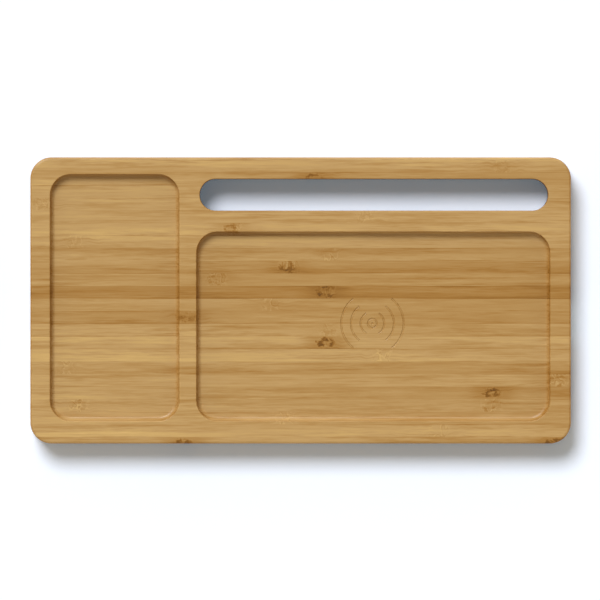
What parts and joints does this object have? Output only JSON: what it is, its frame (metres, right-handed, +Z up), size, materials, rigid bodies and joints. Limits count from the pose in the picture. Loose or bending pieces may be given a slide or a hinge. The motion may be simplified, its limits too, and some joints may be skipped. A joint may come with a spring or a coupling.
{
  "type": "charging station organizer",
  "caption": "Bamboo desk organizer with a pen tray, a wireless charging tray with an engraved mark, and a long device slot along its rear edge",
  "frame": {"origin": "middle of the footprint on the desk, on the plane of the four feet", "axes": "+X right along the length, from the pen tray to the charging tray; +Y to the rear, where the slot is; +Z up"},
  "size_m": [0.27, 0.143, 0.018],
  "materials": {
    "bamboo": "satin",
    "abs_white": "matte",
    "silicone_grey": "matte",
    "zinc_steel": "satin",
    "circuit_laminate": "satin",
    "tin_plated_steel": "satin",
    "black_moulding": "matte",
    "gold_contact": "polished",
    "ceramic_brown": "satin",
    "ferrite_grey": "matte",
    "led_lens": "gloss",
    "clear_acrylic": "gloss",
    "copper_wire": "satin",
    "adhesive_film": "matte"
  },
  "bodies": {
    "root": {"bamboo_board": "bamboo", "base_cover": "abs_white", "cover_screws": "zinc_steel", "foot_front_left": "silicone_grey", "foot_front_right": "silicone_grey", "foot_rear_left": "silicone_grey", "foot_rear_right": "silicone_grey", "charger_pcb": "circuit_laminate", "pcb_screws": "zinc_steel", "usb_c_shell": "tin_plated_steel", "usb_c_insulator": "black_moulding", "usb_c_contacts": "gold_contact", "controller_chip": "black_moulding", "bridge_transistors": "black_moulding", "resonant_capacitors": "ceramic_brown", "input_capacitors": "ceramic_brown", "power_inductor": "ferrite_grey", "status_led": "led_lens", "light_pipe": "clear_acrylic", "ferrite_plate": "ferrite_grey", "coil_tape": "adhesive_film", "coil_winding": "copper_wire", "coil_lead_inner": "copper_wire", "coil_lead_outer": "copper_wire"}
  },
  "joints": []
}
